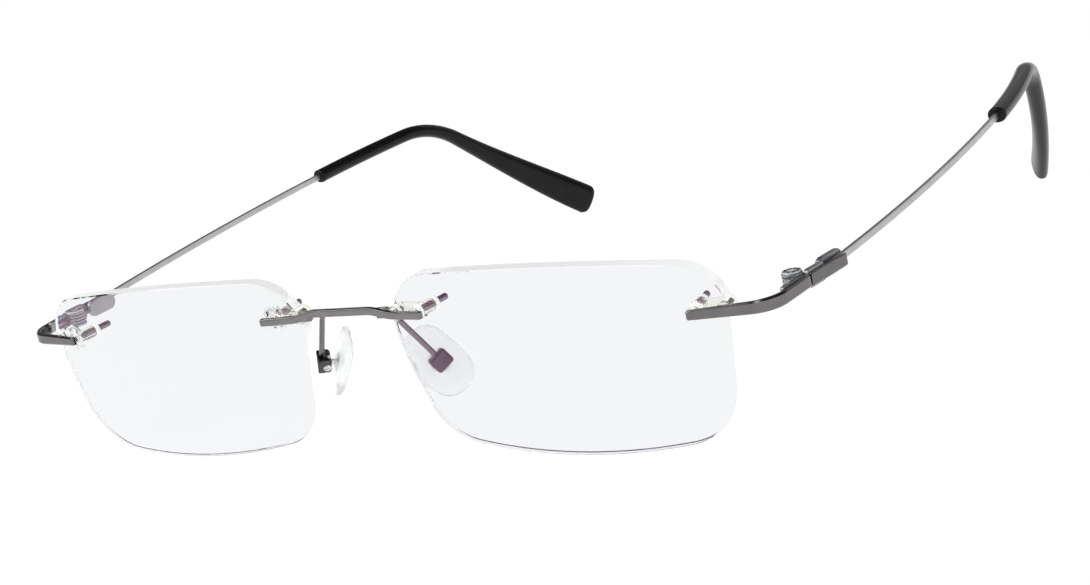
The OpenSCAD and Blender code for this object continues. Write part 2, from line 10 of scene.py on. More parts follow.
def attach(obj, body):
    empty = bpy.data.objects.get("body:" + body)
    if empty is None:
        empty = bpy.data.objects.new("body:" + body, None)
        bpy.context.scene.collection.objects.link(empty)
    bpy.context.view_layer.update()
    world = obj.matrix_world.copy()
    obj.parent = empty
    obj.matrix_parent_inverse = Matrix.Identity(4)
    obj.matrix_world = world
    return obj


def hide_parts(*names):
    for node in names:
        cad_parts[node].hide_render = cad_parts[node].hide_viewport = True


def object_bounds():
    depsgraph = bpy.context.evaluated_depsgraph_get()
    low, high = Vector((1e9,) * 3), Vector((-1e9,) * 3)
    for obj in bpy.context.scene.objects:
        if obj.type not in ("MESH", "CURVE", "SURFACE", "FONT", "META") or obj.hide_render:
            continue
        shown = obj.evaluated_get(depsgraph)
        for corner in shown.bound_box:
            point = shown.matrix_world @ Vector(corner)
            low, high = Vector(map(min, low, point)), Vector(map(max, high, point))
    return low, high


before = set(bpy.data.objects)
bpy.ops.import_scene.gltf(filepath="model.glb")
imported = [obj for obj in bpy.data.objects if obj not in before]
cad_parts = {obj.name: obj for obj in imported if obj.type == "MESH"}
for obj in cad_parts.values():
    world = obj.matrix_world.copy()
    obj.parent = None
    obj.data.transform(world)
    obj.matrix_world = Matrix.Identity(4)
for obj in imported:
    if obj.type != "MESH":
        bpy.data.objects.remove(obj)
cad_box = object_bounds()

MM = 0.001
SIDES = (("right", 1), ("left", -1))

# ---------------------------------------------------------------- sizes, as in the CAD source
LENS_W, LENS_H, NOSE_GAP, LENS_T, LENS_R = 53.0, 28.8, 17.0, 2.0, 126.0
LEAN, WRAP = radians(7.2), radians(2.7)
BRIDGE_H, BRIDGE_D, BRIDGE_RISE = 1.15, 0.95, 0.8
END_H, END_T, BEND_R, FRONT_W = 1.8, 0.9, 4.5, 137.6
HINGE_Y, TEMPLE_L, BLOCK_L = 13.6, 132.5, 9.4
STRIP_H, STRIP_T, STRIP_RISE = 1.1, 0.6, radians(4)
TIP_DROP, TIP_T, TIP_H, PADDLE_W = radians(39.3), 3.0, 2.5, 6.1
PAD_H, PAD_W, PAD_T = 11.4, 7.0, 1.9
SEAT = 0.1
HOLE_R, POST_R, POST_L, NOTCH_POST_L = 0.98, 0.5, 8.0, 3.1
NOSE_U, NOSE_V, NOSE_NOTCH = -LENS_W / 2 + 4.5, 8.1, -3.9
SIDE_U, SIDE_V, SIDE_NOTCH = LENS_W / 2 - 4.7, 5.5, 4.3
FLARE, END_TILT, BAR_START = radians(5), radians(2.5), -0.9
PLATE_T, BARREL_R, BARREL_H, BARREL_GAP, PIN_R = 0.6, 1.45, 0.42, 0.06, 0.5


def sag(u, v, r=LENS_R):
    """How far a ball of radius r has curved back at u, v."""
    return r - sqrt(r * r - u * u - v * v)


LENS_X = NOSE_GAP / 2 + LENS_W / 2 * cos(WRAP)
LENS_Z = LENS_H / 2 * cos(LEAN) - sag(0, LENS_H / 2) * sin(LEAN)


def move(x, y, z):
    return Matrix.Translation((x, y, z))


def turn(angle, axis):
    return Matrix.Rotation(angle, 4, axis)


LENS_FRAME = move(LENS_X, 0, LENS_Z) @ turn(LEAN, "X") @ turn(WRAP, "Z")


def mount_frame(u, v):
    """On the front of a lens at u, v: y into the lens, x outwards."""
    at = LENS_FRAME @ Vector((u, sag(u, v), v))
    return move(*at) @ turn(LEAN - asin(v / LENS_R), "X") @ turn(WRAP + asin(u / LENS_R), "Z")


NOSE_MOUNT, SIDE_MOUNT = mount_frame(NOSE_U, NOSE_V), mount_frame(SIDE_U, SIDE_V)
NOSE_TURN, SIDE_TURN = WRAP + asin(NOSE_U / LENS_R), WRAP + asin(SIDE_U / LENS_R)
nose_at, side_at = NOSE_MOUNT.translation, SIDE_MOUNT.translation

# bridge
BAR_Z, BAR_END_X = nose_at.z, nose_at.x + 1.8
KNEE_X = NOSE_GAP / 2 + 0.2
BAR_BACK_Y = nose_at.y - SEAT + (KNEE_X - nose_at.x) * tan(NOSE_TURN)
RISE_FROM, RISE_TO = 4.6, 9.6

# endpiece
GAP_Y = HINGE_Y - 0.2
HEADING = pi / 2 - FLARE
MID_X = side_at.x + (SEAT + END_T / 2) * sin(SIDE_TURN)
BAR_MID_Y = side_at.y - (SEAT + END_T / 2) * cos(SIDE_TURN)
BEND_DX = BEND_R * (sin(HEADING) - sin(SIDE_TURN))
BEND_DY = BEND_R * (cos(SIDE_TURN) - cos(HEADING))
END_X = FRONT_W / 2 - END_T / 2
RUN_X, RUN_Y = END_X - MID_X - BEND_DX, GAP_Y - BAR_MID_Y - BEND_DY
TURN_SUM = sin(HEADING - SIDE_TURN)
BAR_L = (RUN_X * sin(HEADING) - RUN_Y * cos(HEADING)) / TURN_SUM
BACK_L = (RUN_Y * cos(SIDE_TURN) - RUN_X * sin(SIDE_TURN)) / TURN_SUM
HINGE_Z = side_at.z + (GAP_Y - BAR_MID_Y) * tan(END_TILT)
HINGE_FRAME = move(END_X, GAP_Y, HINGE_Z) @ turn(-FLARE, "Z")
PIN_IN = END_T / 2 + PLATE_T + BARREL_R + 0.05
PITCH = BARREL_H + BARREL_GAP
HINGE_PIN = HINGE_FRAME @ move(-PIN_IN, 0.2, 0)
BARRELS_TOP = 2 * PITCH + BARREL_H / 2
HEAD_TOP = BARRELS_TOP + 0.24

# strip and ear tip
SKIN_IN = -0.15
STRIP_OUT, STRIP_Y = SKIN_IN - 0.02, 4.7
STRIP_MID = STRIP_OUT - STRIP_T / 2
BLOCK_GAP = 0.35
MOUTH_Y, TIP_END_Y = HINGE_Y + TEMPLE_L * 0.536, HINGE_Y + TEMPLE_L
strip_from = Vector((END_X + STRIP_MID * cos(FLARE) + STRIP_Y * sin(FLARE),
                     GAP_Y - STRIP_MID * sin(FLARE) + STRIP_Y * cos(FLARE)))
STRIP_R = (MOUTH_Y - strip_from.y) / (2 * sin(FLARE))
strip_centre = strip_from + STRIP_R * Vector((-cos(FLARE), sin(FLARE)))
strip_end = Vector((strip_from.x, MOUTH_Y))
TIP_IN = 19.0
TIP_RUN = TIP_END_Y - MOUTH_Y
TIP_HALF = atan2(TIP_IN, TIP_RUN) - FLARE
TIP_R = sqrt(TIP_RUN ** 2 + TIP_IN ** 2) / (2 * sin(TIP_HALF))
tip_centre = strip_end - TIP_R * Vector((cos(FLARE), sin(FLARE)))
MOUTH_Z = HINGE_Z + (MOUTH_Y - strip_from.y) * tan(STRIP_RISE)
EAR_R = 17.0
EAR_Y = MOUTH_Y + 23.4
EAR_Z = MOUTH_Z + (EAR_Y - MOUTH_Y) * tan(STRIP_RISE)
ear_centre = Vector((EAR_Y + EAR_R * sin(STRIP_RISE), EAR_Z - EAR_R * cos(STRIP_RISE)))
drop_start = ear_centre + EAR_R * Vector((sin(TIP_DROP), cos(TIP_DROP)))
SLOPE_L = (EAR_Y - MOUTH_Y) / cos(STRIP_RISE)
BEND_L = EAR_R * (STRIP_RISE + TIP_DROP)
TIP_L = SLOPE_L + BEND_L + (TIP_END_Y - drop_start.x) / cos(TIP_DROP)

front_y = BAR_BACK_Y - BRIDGE_D - (BAR_END_X - KNEE_X) * tan(-NOSE_TURN)
MIDDLE_Y = (front_y + TIP_END_Y + (PADDLE_W / 2 - 1.2) * sin(TIP_DROP)) / 2

# nose pads
PAD_FRAME = (move(9.39, 8.78, 12.89) @ turn(radians(-36.8), "Y") @ turn(radians(9.5), "X")
             @ turn(radians(41.6), "Z"))
SCREW_FRAME = PAD_FRAME @ move(0.18, -2.23, -0.2)
BOX_FRAME = SCREW_FRAME @ turn(radians(12), "X")
BOX_HALF, SLOT_HALF = 1.45, 0.7
ARM_R = 0.42
ARM_KNEE, ARM_FOOT = Vector((7.05, 4.2, 21.5)), Vector((10.93, 6.51, 14.56))
# UPRIGHT stands a plate's outline upright: its first two axes become y and z, its thickness runs along x
UPRIGHT = Matrix(((0, 0, 1, 0), (1, 0, 0, 0), (0, 1, 0, 0), (0, 0, 0, 1)))


# ---------------------------------------------------------------- mesh helpers
class Shape:
    """Vertices and faces, in millimetres."""

    def __init__(self):
        self.verts, self.faces = [], []

    def add(self, verts, faces, place=None):
        n = len(self.verts)
        self.verts += [place @ Vector(v) if place else Vector(v) for v in verts]
        self.faces += [[n + i for i in f] for f in faces]
        return self

    def join(self, other, place=None):
        return self.add(other.verts, other.faces, place)


def loft(rings, close=False):
    """A skin over rings of equally many points, either capped or closed to a loop."""
    s, k = Shape(), len(rings[0])
    verts = [p for r in rings for p in r]
    faces = []
    spans = len(rings) if close else len(rings) - 1
    for i in range(spans):
        a, b = i * k, ((i + 1) % len(rings)) * k
        for j in range(k):
            m = (j + 1) % k
            faces.append([a + j, a + m, b + m, b + j])
    if not close:
        faces.append(list(range(k))[::-1])
        faces.append([(len(rings) - 1) * k + j for j in range(k)])
    return s.add(verts, faces)


def round_rect(w, h, r, n=4):
    """Points of a rounded rectangle, in the first two axes."""
    r = max(min(r, w / 2 - 1e-4, h / 2 - 1e-4), 1e-4)
    pts = []
    for cx, cy, a0 in ((w / 2 - r, h / 2 - r, 0), (-w / 2 + r, h / 2 - r, 90),
                       (-w / 2 + r, -h / 2 + r, 180), (w / 2 - r, -h / 2 + r, 270)):
        for i in range(n + 1):
            a = radians(a0 + 90 * i / n)
            pts.append((cx + r * cos(a), cy + r * sin(a)))
    return pts


def oval(w, h, power=2.0, n=28):
    """Points of a superellipse."""
    pts = []
    for i in range(n):
        a = 2 * pi * i / n
        c, s = cos(a), sin(a)
        pts.append((w / 2 * math.copysign(abs(c) ** (2 / power), c),
                    h / 2 * math.copysign(abs(s) ** (2 / power), s)))
    return pts


def sections(path, shapes, up=Vector((0, 0, 1))):
    """Rings across a path: the first axis lies sideways, the second along up."""
    rings = []
    for i, p in enumerate(path):
        a, b = path[max(i - 1, 0)], path[min(i + 1, len(path) - 1)]
        t = (b - a).normalized()
        z = (up - up.dot(t) * t).normalized()
        x = t.cross(z)
        rings.append([p + q[0] * x + q[1] * z for q in shapes[i]])
    return rings


def bar(path, size, r, n=4):
    """A bar of rounded rectangular section; size gives width and height for a share 0 to 1 of its
    length. Its ends are rounded like its edges."""
    lengths = [0.0]
    for a, b in zip(path, path[1:]):
        lengths.append(lengths[-1] + (b - a).length)
    total = lengths[-1]

    def at(d):
        i = next((i for i in range(len(path) - 2) if d <= lengths[i + 1]), len(path) - 2)
        return path[i].lerp(path[i + 1], (d - lengths[i]) / (lengths[i + 1] - lengths[i]))

    marks = [(d, 0.0) for d in lengths if r <= d <= total - r]
    for k in range(5):
        a = pi / 2 * k / 4
        off, thin = r * (1 - sin(a)), r * (1 - cos(a))
        marks += [(off, thin), (total - off, thin)]
    marks.sort()
    clean = [marks[0]]
    for m in marks[1:]:
        if m[0] - clean[-1][0] > 1e-5:
            clean.append(m)
    pts, shapes = [], []
    for d, thin in clean:
        w, h = size(d / total)
        pts.append(at(d))
        shapes.append(round_rect(w - 2 * thin, h - 2 * thin, max(r - thin, 0.02), n))
    return loft(sections(pts, shapes))


def lathe(profile, place, n=40, close=False):
    """A turned part round the local y axis; profile is a list of [radius, y]."""
    rings = [[(r * cos(2 * pi * j / n), y, r * sin(2 * pi * j / n)) for j in range(n)]
             for r, y in profile]
    return Shape().join(loft(rings, close), place)


def wire(path, radius, n):
    """A round wire along a path that runs mostly downwards."""
    ring = [(radius * cos(2 * pi * j / n), radius * sin(2 * pi * j / n)) for j in range(n)]
    return loft(sections(path, [ring] * len(path), Vector((0, 1, 0.2))))


def inset(outline, d):
    """An outline moved inwards by d; it runs anticlockwise."""
    out, n = [], len(outline)
    for i in range(n):
        a, p, b = Vector(outline[i - 1]), Vector(outline[i]), Vector(outline[(i + 1) % n])
        e, f = (p - a).normalized(), (b - p).normalized()
        m = Vector((-e.y - f.y, e.x + f.x)).normalized()
        out.append(tuple(p + m * d / max(0.3, m.dot(Vector((-e.y, e.x))))))
    return out


def plate(outline, t, r, place, steps=3):
    """A flat plate in the first two axes, its thickness t along the third, with rounded rims."""
    rings = []
    for side, order in ((0, range(steps + 1)), (1, range(steps, -1, -1))):
        for k in order:
            a = pi / 2 * k / steps
            pts = inset(outline, r * (1 - sin(a)))
            z = r * (1 - cos(a))
            rings.append([(x, y, z if side == 0 else t - z) for x, y in pts])
    return Shape().join(loft(rings), place)


def catmull(points, n=10):
    """A smooth curve through points."""
    p = [points[0] * 2 - points[1]] + points + [points[-1] * 2 - points[-2]]
    out = []
    for a, b, c, d in zip(p, p[1:], p[2:], p[3:]):
        for k in range(n):
            t = k / n
            out.append(0.5 * ((2 * b) + (c - a) * t + (2 * a - 5 * b + 4 * c - d) * t * t
                              + (3 * b - a - 3 * c + d) * t ** 3))
    return out + [points[-1]]


def outward(mesh, merge=0.0):
    """All normals outwards, with points closer than merge joined."""
    bm = bmesh.new()
    bm.from_mesh(mesh)
    if merge:
        bmesh.ops.remove_doubles(bm, verts=bm.verts, dist=merge)
    bmesh.ops.recalc_face_normals(bm, faces=bm.faces)
    bm.to_mesh(mesh)
    bm.free()


def combine(body, other, operation):
    """The union or difference of two closed shapes."""
    objs = []
    for shape in (body, other):
        mesh = bpy.data.meshes.new("combine")
        mesh.from_pydata(shape.verts, [], shape.faces)
        outward(mesh)
        objs.append(bpy.data.objects.new("combine", mesh))
        bpy.context.scene.collection.objects.link(objs[-1])
    mod = objs[0].modifiers.new("combine", "BOOLEAN")
    mod.object, mod.operation, mod.solver = objs[1], operation, "EXACT"
    done = objs[0].evaluated_get(bpy.context.evaluated_depsgraph_get()).to_mesh()
    s = Shape().add([v.co for v in done.vertices], [list(f.vertices) for f in done.polygons])
    for o in objs:
        bpy.data.objects.remove(o)
    return s


def make(name, shape, side, material, body, nodes, crease):
    """The object: mirrored on the left, in metres, riding on its body."""
    mesh = bpy.data.meshes.new(name)
    verts = [(side * v.x * MM, (v.y - MIDDLE_Y) * MM, v.z * MM) for v in shape.verts]
    mesh.from_pydata(verts, [], shape.faces)
    outward(mesh, 1e-8)
    mesh.shade_smooth()
    mesh.set_sharp_from_angle(angle=radians(crease))
    obj = bpy.data.objects.new(name, mesh)
    bpy.context.scene.collection.objects.link(obj)
    mesh.materials.append(material)
    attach(obj, body)
    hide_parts(*nodes)
    return obj


# ---------------------------------------------------------------- materials
def new_material(name):
    """A material with a Principled shader on its output."""
    m = bpy.data.materials.new(name)
    m.use_nodes = True
    nt = m.node_tree
    nt.nodes.clear()
    out = nt.nodes.new("ShaderNodeOutputMaterial")
    p = nt.nodes.new("ShaderNodeBsdfPrincipled")
    nt.links.new(p.outputs[0], out.inputs[0])
    return m, nt, p, out


def noise(nt, scale, detail=3.0, rough=0.55, stretch=(1, 1, 1)):
    """Noise in the object's own metres."""
    tc = nt.nodes.new("ShaderNodeTexCoord")
    mp = nt.nodes.new("ShaderNodeMapping")
    mp.inputs["Scale"].default_value = stretch
    nz = nt.nodes.new("ShaderNodeTexNoise")
    nz.inputs["Scale"].default_value = scale
    nz.inputs["Detail"].default_value = detail
    nz.inputs["Roughness"].default_value = rough
    nt.links.new(tc.outputs["Object"], mp.inputs["Vector"])
    nt.links.new(mp.outputs[0], nz.inputs["Vector"])
    return nz.outputs["Fac"]


def ramp(nt, fac, stops):
    """A colour ramp; stops are pairs of place and colour."""
    r = nt.nodes.new("ShaderNodeValToRGB")
    e = r.color_ramp.elements
    while len(e) < len(stops):
        e.new(0.5)
    for el, (pos, col) in zip(e, stops):
        el.position = pos
        el.color = (*col, 1)
    nt.links.new(fac, r.inputs[0])
    return r.outputs[0]


def span(nt, fac, lo, hi):
    """Noise turned into values from lo to hi."""
    r = nt.nodes.new("ShaderNodeMapRange")
    r.inputs["From Min"].default_value, r.inputs["From Max"].default_value = 0.3, 0.7
    r.inputs["To Min"].default_value, r.inputs["To Max"].default_value = lo, hi
    nt.links.new(fac, r.inputs["Value"])
    return r.outputs[0]


def bump(nt, height, strength, distance):
    b = nt.nodes.new("ShaderNodeBump")
    b.inputs["Strength"].default_value = strength
    b.inputs["Distance"].default_value = distance
    nt.links.new(height, b.inputs["Height"])
    return b.outputs[0]


def metal(name, dark, light, rough, grain=9000.0, streak=0.25, stretch=(1, 1, 1)):
    """Plated or brushed metal: a fine grain, drawn out where stretched, and faint cloudiness."""
    m, nt, p, _ = new_material(name)
    grain_fac = noise(nt, grain, 2.0, 0.6, stretch)
    cloud = noise(nt, 420.0, 3.0, 0.5)
    mix = nt.nodes.new("ShaderNodeMath")
    mix.operation = "MULTIPLY_ADD"
    mix.inputs[1].default_value = streak
    nt.links.new(grain_fac, mix.inputs[0])
    nt.links.new(cloud, mix.inputs[2])
    nt.links.new(ramp(nt, mix.outputs[0], [(0.35, dark), (0.85, light)]), p.inputs["Base Color"])
    nt.links.new(span(nt, grain_fac, *rough), p.inputs["Roughness"])
    nt.links.new(bump(nt, grain_fac, 0.04, 0.00001), p.inputs["Normal"])
    p.inputs["Metallic"].default_value = 1.0
    return m


def clear(name, tint, rough, ior, shadow, sheen=None, cloud=0.0, milk=0.0, painted_glow=0.0):
    """Clear material that lets the lamps through; sheen tints what it reflects, cloud darkens it in
    patches, milk is its share of plain white scatter and glow a painted light: white emission, though it is
    no lamp."""
    m, nt, p, out = new_material(name)
    fac = noise(nt, 260.0)
    low = tuple(c * (1 - cloud) for c in tint)
    nt.links.new(ramp(nt, fac, [(0.3, low), (0.7, tint)]), p.inputs["Base Color"])
    nt.links.new(span(nt, noise(nt, 1500.0), *rough), p.inputs["Roughness"])
    p.inputs["IOR"].default_value = ior
    p.inputs["Transmission Weight"].default_value = 1.0 - milk
    # painted light: a plain white emission, though the part is no lamp
    p.inputs["Emission Color"].default_value = (1, 1, 1, 1)
    p.inputs["Emission Strength"].default_value = painted_glow
    if sheen:
        p.inputs["Specular Tint"].default_value = (*sheen, 1)
    see = nt.nodes.new("ShaderNodeBsdfTransparent")
    see.inputs[0].default_value = (*shadow, 1)
    path = nt.nodes.new("ShaderNodeLightPath")
    mix = nt.nodes.new("ShaderNodeMixShader")
    nt.links.new(path.outputs["Is Shadow Ray"], mix.inputs[0])
    nt.links.new(p.outputs[0], mix.inputs[1])
    nt.links.new(see.outputs[0], mix.inputs[2])
    nt.links.new(mix.outputs[0], out.inputs[0])
    return m


SATIN = (0.16, 0.24)
GUNMETAL = metal("gunmetal_plating", (0.18, 0.17, 0.17), (0.225, 0.213, 0.212), SATIN)
BRIDGE_METAL = metal("bridge_plating", (0.205, 0.195, 0.195), (0.256, 0.243, 0.242), SATIN)
END_METAL = metal("endpiece_plating", (0.157, 0.148, 0.15), (0.196, 0.185, 0.187), SATIN)
BLOCK_METAL = metal("block_plating", (0.134, 0.126, 0.129), (0.168, 0.158, 0.161), SATIN)
BOX = metal("box_plating", (0.07, 0.062, 0.066), (0.11, 0.1, 0.105), SATIN)
KNUCKLE = metal("hinge_plating", (0.36, 0.37, 0.385), (0.42, 0.43, 0.445), (0.42, 0.5), 2500.0)
STRIP = metal("brushed_strip", (0.44, 0.442, 0.44), (0.52, 0.52, 0.515), (0.34, 0.42), 3000.0, 0.2,
              (1, 0.02, 1))
SCREW = metal("screw_steel", (0.55, 0.55, 0.55), (0.75, 0.75, 0.75), (0.18, 0.3))
HEAD = metal("pin_head_steel", (0.86, 0.865, 0.87), (0.95, 0.95, 0.95), (0.5, 0.6))
# near-black metal for the holes in the hinge pin's head: painted shade in the recesses
HOLE_SHADE = metal("screw_hole_painted_shade", (0.004, 0.004, 0.004), (0.01, 0.01, 0.01), (0.5, 0.6))
LENS = clear("lens_coated", (0.868, 0.885, 0.892), (0.0, 0.0), 1.5, (0.97, 0.975, 0.98),
             sheen=(1.0, 0.2, 0.8))
# the lens rim glows white: painted light
EDGE = clear("lens_edge", (0.98, 0.982, 0.985), (0.3, 0.45), 1.3, (0.97, 0.97, 0.97),
             milk=0.8, painted_glow=0.3)
SLEEVE = clear("sleeve_nylon", (0.97, 0.965, 0.9), (0.02, 0.05), 1.12, (0.95, 0.95, 0.91),
               cloud=0.04, milk=0.04)
# the sleeve's collar glows a little: painted light
COLLAR = clear("sleeve_collar", (0.97, 0.97, 0.96), (0.2, 0.3), 1.2, (0.94, 0.94, 0.93),
               milk=0.7, painted_glow=0.2)
# the nose pad glows faintly: painted light
PAD = clear("pad_silicone", (0.915, 0.922, 0.93), (0.06, 0.12), 1.16, (0.95, 0.95, 0.95),
            cloud=0.03, milk=0.3, painted_glow=0.06)


def tip_material():
    """Black moulded plastic with a very fine texture."""
    m, nt, p, _ = new_material("tip_black")
    fine = noise(nt, 5200.0)
    blacks = [(0.3, (0.004, 0.004, 0.005)), (0.7, (0.008, 0.008, 0.0095))]
    nt.links.new(ramp(nt, noise(nt, 300.0), blacks), p.inputs["Base Color"])
    nt.links.new(span(nt, fine, 0.2, 0.28), p.inputs["Roughness"])
    nt.links.new(bump(nt, fine, 0.08, 0.00002), p.inputs["Normal"])
    p.inputs["IOR"].default_value = 1.5
    p.inputs["Specular IOR Level"].default_value = 0.2
    return m


TIP = tip_material()


# ---------------------------------------------------------------- lenses
def lens_corner(u_sign, v_sign, in_u, in_v, r):
    """A round corner of radius r whose curve touches lines in_u and in_v inside the lens's box."""
    return u_sign * (LENS_W / 2 - in_u - r), v_sign * (LENS_H / 2 - in_v - r), r


CORNERS = [lens_corner(-1, 1, 0, 0.3, 8.4), lens_corner(1, 1, 0, 1.9, 7.1),
           lens_corner(1, -1, 1.5, 0.5, 9.8), lens_corner(-1, -1, 2.1, 1.9, 8.3)]
BOWS = [207, 195, 119, 206]
MOUNTS = [(NOSE_U, NOSE_V), (SIDE_U, SIDE_V)]
BEVEL, HOLE_BEVEL, HOLE_STEPS = 0.16, 0.08, 32


def bow_centre(a, b, r):
    """The centre of the bow of radius r that touches the corner arcs a and b."""
    d = Vector((b[0] - a[0], b[1] - a[1]))
    e, length = d.normalized(), d.length
    ra, rb = r - a[2], r - b[2]
    s = (ra * ra - rb * rb + length * length) / (2 * length)
    return Vector(a[:2]) + s * e + sqrt(ra * ra - s * s) * Vector((e.y, -e.x))


def arc(c, r, a0, a1, n):
    """Points of a clockwise arc, without its last one."""
    if a1 > a0:
        a1 -= 2 * pi
    return [(c[0] + r * cos(a0 + (a1 - a0) * i / n), c[1] + r * sin(a0 + (a1 - a0) * i / n))
            for i in range(n)]


def bowed(corners, bows, n_corner, n_bow):
    """Clockwise corner arcs joined by tangent bows; returned anticlockwise."""
    k = len(corners)
    o = [bow_centre(corners[i], corners[(i + 1) % k], bows[i]) for i in range(k)]
    pts = []

    def heading(v):
        return atan2(v.y, v.x)

    for i in range(k):
        c, nxt = Vector(corners[i][:2]), Vector(corners[(i + 1) % k][:2])
        pts += arc(c, corners[i][2], heading(c - o[i - 1]), heading(c - o[i]), n_corner)
        pts += arc(o[i], bows[i], heading(c - o[i]), heading(nxt - o[i]), n_bow)
    return pts[::-1]


def notched(outline, u, v, r, out):
    """Cuts a round notch with its centre at u, v into the edge on the side that out points to."""

    def inside(p):
        return (p[0] - u) * out > -r and abs(p[1] - v) < r + 0.02

    keep = [p for p in outline if not inside(p)]
    far = [i for i, p in enumerate(outline) if inside(p)]
    edge_u = sum(outline[i][0] for i in far) / len(far)
    n = len(outline)
    start = next(i for i in far if (i - 1) % n not in far)
    before = outline[(start - 1) % n]
    sign = 1 if before[1] > v else -1
    steps = 18
    bite = [(edge_u, v + sign * r)]
    for i in range(steps + 1):
        a = pi / 2 - pi * i / steps
        bite.append((u - out * r * cos(a), v + sign * r * sin(a)))
    bite.append((edge_u, v - sign * r))
    at = keep.index(before)
    return keep[:at + 1] + bite + keep[at + 1:]


def circle(centre, r):
    angles = [2 * pi * i / HOLE_STEPS for i in range(HOLE_STEPS)]
    return [(centre[0] + r * cos(a), centre[1] + r * sin(a)) for a in angles]


def in_outline(p, outline):
    hit = False
    for a, b in zip(outline, outline[1:] + outline[:1]):
        if (a[1] > p.y) != (b[1] > p.y) and p.x < (b[0] - a[0]) * (p.y - a[1]) / (b[1] - a[1]) + a[0]:
            hit = not hit
    return hit


def lens_net(inner):
    """Triangles inside the outline and outside the holes: points, faces and the ids of each loop."""
    pts, edges, loops = [], [], []
    for loop in [inner] + [circle(m, HOLE_R + HOLE_BEVEL) for m in MOUNTS]:
        first, n = len(pts), len(loop)
        pts += [Vector(p) for p in loop]
        edges += [(first + i, first + (i + 1) % n) for i in range(n)]
        loops.append(range(first, first + n))
    rim = [Vector(p) for p in inner]
    step, clear_by = 1.5, 0.8
    for i in range(-18, 19):
        for j in range(-10, 11):
            p = Vector((i * step, j * step + (step / 2 if i % 2 else 0)))
            if abs(p.x) < LENS_W / 2 - 1 and abs(p.y) < LENS_H / 2 - 0.6 and min(
                    min((p - q).length for q in rim),
                    min((p - Vector(m)).length - HOLE_R for m in MOUNTS)) > clear_by:
                pts.append(p)
    co, _, faces, orig, *_ = geometry.delaunay_2d_cdt(pts, edges, [], 0, 1e-6)
    ids = {old: new for new, olds in enumerate(orig) for old in olds}
    good = []
    for f in faces:
        mid = sum((co[i] for i in f), Vector((0, 0))) / len(f)
        if in_outline(mid, inner) and all(
                (mid - Vector(m)).length > HOLE_R + 0.06 for m in MOUNTS):
            good.append(list(f))
    return co, good, [[ids[i] for i in loop] for loop in loops]


def lens_shape():
    """The lens and how many of its faces are polished: all but the rim and the walls of the holes."""
    def front_at(u, v):
        return Vector((u, sag(u, v), v))

    def rear_at(u, v):
        return Vector((u, LENS_T + sag(u, v, LENS_R - LENS_T), v))

    def deep_at(u, v, depth):
        """Straight in from the front surface."""
        middle = Vector((0, LENS_R, 0))
        return middle + (front_at(u, v) - middle) * (1 - depth / LENS_R)

    rim = bowed(CORNERS, BOWS, 26, 26)
    rim = notched(rim, NOSE_U + NOSE_NOTCH, NOSE_V, HOLE_R, -1)
    rim = notched(rim, SIDE_U + SIDE_NOTCH, SIDE_V, HOLE_R, 1)
    co, good, (edge, *hole_loops) = lens_net(inset(rim, BEVEL))
    n, k, at_edge = len(co), len(rim), set(edge)
    verts = [front_at(*p) for p in co]
    verts += [rear_at(*p) if i in at_edge else deep_at(*p, LENS_T) for i, p in enumerate(co)]
    polished = [f[::-1] for f in good] + [[n + i for i in f] for f in good]
    ground = []
    bevel = Vector((0, BEVEL, 0))
    ring_f, ring_b = len(verts), len(verts) + k
    verts += [front_at(*p) + bevel for p in rim] + [rear_at(*p) - bevel for p in rim]
    for i in range(k):
        j = (i + 1) % k
        a, b = edge[i], edge[j]
        polished.append([a, b, ring_f + j, ring_f + i])
        ground.append([ring_f + i, ring_f + j, ring_b + j, ring_b + i])
        polished.append([ring_b + i, ring_b + j, n + b, n + a])
    for m, loop in zip(MOUNTS, hole_loops):
        a0, b0 = len(verts), len(verts) + HOLE_STEPS
        for depth in (HOLE_BEVEL, LENS_T - HOLE_BEVEL):
            verts += [deep_at(*p, depth) for p in circle(m, HOLE_R)]
        for i in range(HOLE_STEPS):
            j = (i + 1) % HOLE_STEPS
            ground.append([loop[i], loop[j], a0 + j, a0 + i])
            ground.append([a0 + i, a0 + j, b0 + j, b0 + i])
            ground.append([b0 + i, b0 + j, n + loop[j], n + loop[i]])
    return Shape().add(verts, polished + ground, LENS_FRAME), len(polished)


lens, n_polished = lens_shape()
for name, side in SIDES:
    obj = make("lens_glass_" + name, lens, side, LENS, "front", ["lens_" + name], 12)
    obj.data.materials.append(EDGE)
    for face in obj.data.polygons[n_polished:]:
        face.material_index = 1


# ---------------------------------------------------------------- bridge
def soft_knee(a, knee, w):
    """0 before the knee, then a ramp of slope 1, rounded over 2 w."""
    if a < knee - w:
        return 0.0
    if a > knee + w:
        return a - knee
    return (a - knee + w) ** 2 / (4 * w)


def rise_share(x):
    """1 on the bridge's arch, 0 on its ends."""
    return 0.5 + 0.5 * cos(pi * min(max((x - RISE_FROM) / (RISE_TO - RISE_FROM), 0.0), 1.0))


def post(place, end):
    """A compression post with a rounded end and a fine groove in front of it."""
    start, neck = -0.5, POST_R - 0.05
    prof = [(0.001, start), (POST_R, start), (POST_R, end - 0.62), (neck, end - 0.56),
            (neck, end - 0.44), (POST_R, end - 0.38), (POST_R, end - 0.25)]
    for i in range(1, 6):
        a = pi / 2 * i / 5
        prof.append((max(POST_R * cos(a), 0.001), end - 0.25 + 0.25 * sin(a)))
    return lathe(prof, place, 28)


